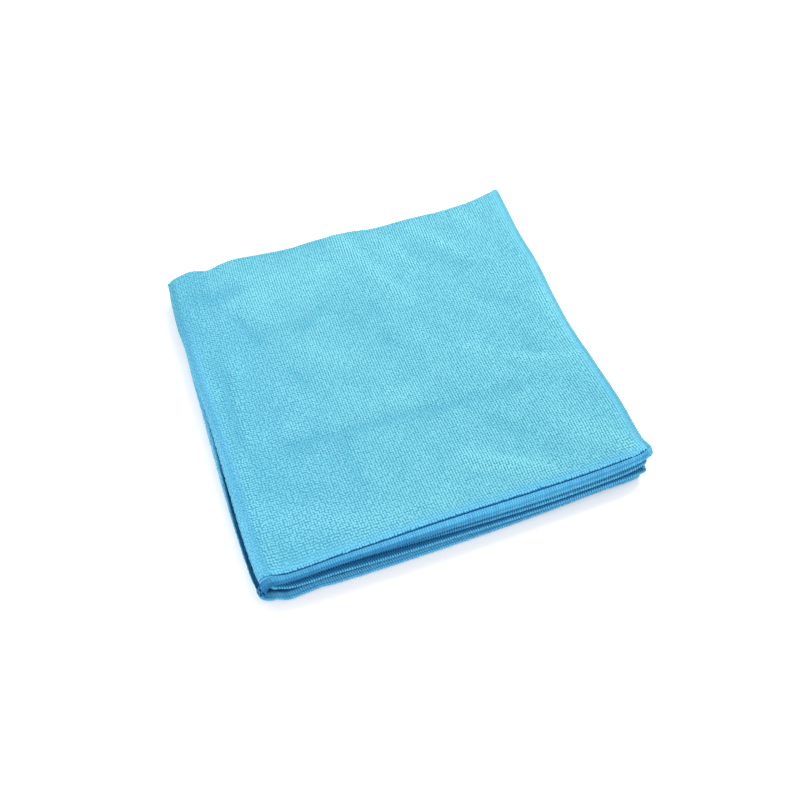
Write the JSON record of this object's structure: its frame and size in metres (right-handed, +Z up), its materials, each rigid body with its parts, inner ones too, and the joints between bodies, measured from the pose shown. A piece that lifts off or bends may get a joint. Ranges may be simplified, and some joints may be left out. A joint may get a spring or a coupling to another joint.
{
  "type": "microfibre cloth",
  "caption": "Square cleaning cloth of short looped microfibre pile with an overlocked hem, folded in quarters and lying flat.",
  "frame": {"origin": "centre of the folded cloth's box, on the surface that it lies on", "axes": "+X to the right along the near edge, which shows the four hemmed layers; +Y away from it, towards the first fold; +Z up. The last fold is on the left, at -X"},
  "size_m": [0.2036, 0.2118, 0.0158],
  "materials": {
    "cloth": "matt light turquoise looped microfibre knit with an overlocked hem of its own colour"
  },
  "bodies": {
    "root": {"cloth": "cloth"}
  },
  "joints": []
}
